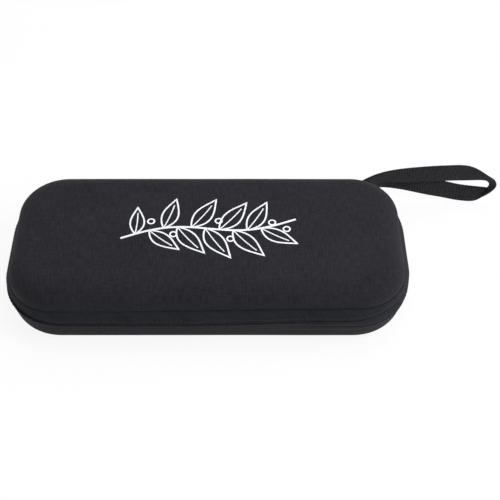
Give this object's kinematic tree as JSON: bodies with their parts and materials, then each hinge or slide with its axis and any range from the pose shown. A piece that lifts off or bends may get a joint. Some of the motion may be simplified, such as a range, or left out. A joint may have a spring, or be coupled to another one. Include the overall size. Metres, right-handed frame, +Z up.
{
  "type": "stethoscope hard case",
  "caption": "Long rounded hard case in two moulded fabric-covered halves, closed by a zip round three sides, with a webbing hand loop at the back corner.",
  "frame": {"origin": "centre of the flat underside, on the surface that the case lies on", "axes": "+X along the spine, towards the end that the hand loop trails from; +Y to the back, where the spine is; +Z up through the lid"},
  "size_m": [0.3446, 0.1539, 0.05],
  "materials": {
    "case_fabric": "matt woven polyester laminated on foam",
    "foam": "moulded EVA foam",
    "lining": "brushed knit",
    "ribbon": "grosgrain",
    "zip_tape": "ribbed polyester tape",
    "zip_teeth": "nylon",
    "spine_fabric": "matt woven polyester",
    "elastic": "ribbed elastic",
    "net": "knitted net",
    "slider_metal": "black lacquered zinc",
    "webbing": "ribbed polyester webbing",
    "thread": "bonded thread"
  },
  "bodies": {
    "base": {"base_cover": "case_fabric", "base_shell": "foam", "base_lining": "lining", "base_binding": "ribbon", "base_tape": "zip_tape", "base_teeth": "zip_teeth", "base_zip_tail": "zip_tape", "spine_strip": "spine_fabric", "holding_band": "elastic", "strap_patch": "case_fabric"},
    "lid": {"lid_cover": "case_fabric", "lid_shell": "foam", "lid_lining": "lining", "lid_binding": "ribbon", "lid_tape": "zip_tape", "lid_teeth": "zip_teeth", "lid_zip_tail": "zip_tape", "pocket_trim": "ribbon", "pocket_hem": "elastic", "pocket_net": "net"},
    "slider": {"slider_body": "slider_metal"},
    "puller": {"puller": "slider_metal"},
    "hand_loop": {"strap_webbing": "webbing", "strap_bartack": "thread"}
  },
  "joints": [
    {"name": "lid_hinge", "type": "hinge", "parent": "base", "child": "lid", "pos_m": [0, 0.065, 0.025], "axis": [-1, 0, 0], "range_deg": [0, 180], "deforming": ["spine_strip", "lid_zip_tail", "base_zip_tail"]},
    {"name": "slider_run", "type": "slide", "parent": "base", "child": "slider", "axis": [-1, 0, 0], "range_m": [0, 0.0175], "deforming": ["lid_zip_tail", "base_zip_tail"]},
    {"name": "puller_swing", "type": "hinge", "parent": "slider", "child": "puller", "pos_m": [-0.0665, 0.06385, 0.025], "axis": [0, 0, 1], "range_deg": [0, 180]},
    {"name": "loop_swing", "type": "hinge", "parent": "base", "child": "hand_loop", "pos_m": [0.101, 0.0628, 0.0173], "axis": [0, 0, -1], "range_deg": [-130, 35], "deforming": ["strap_webbing", "strap_bartack"]}
  ]
}
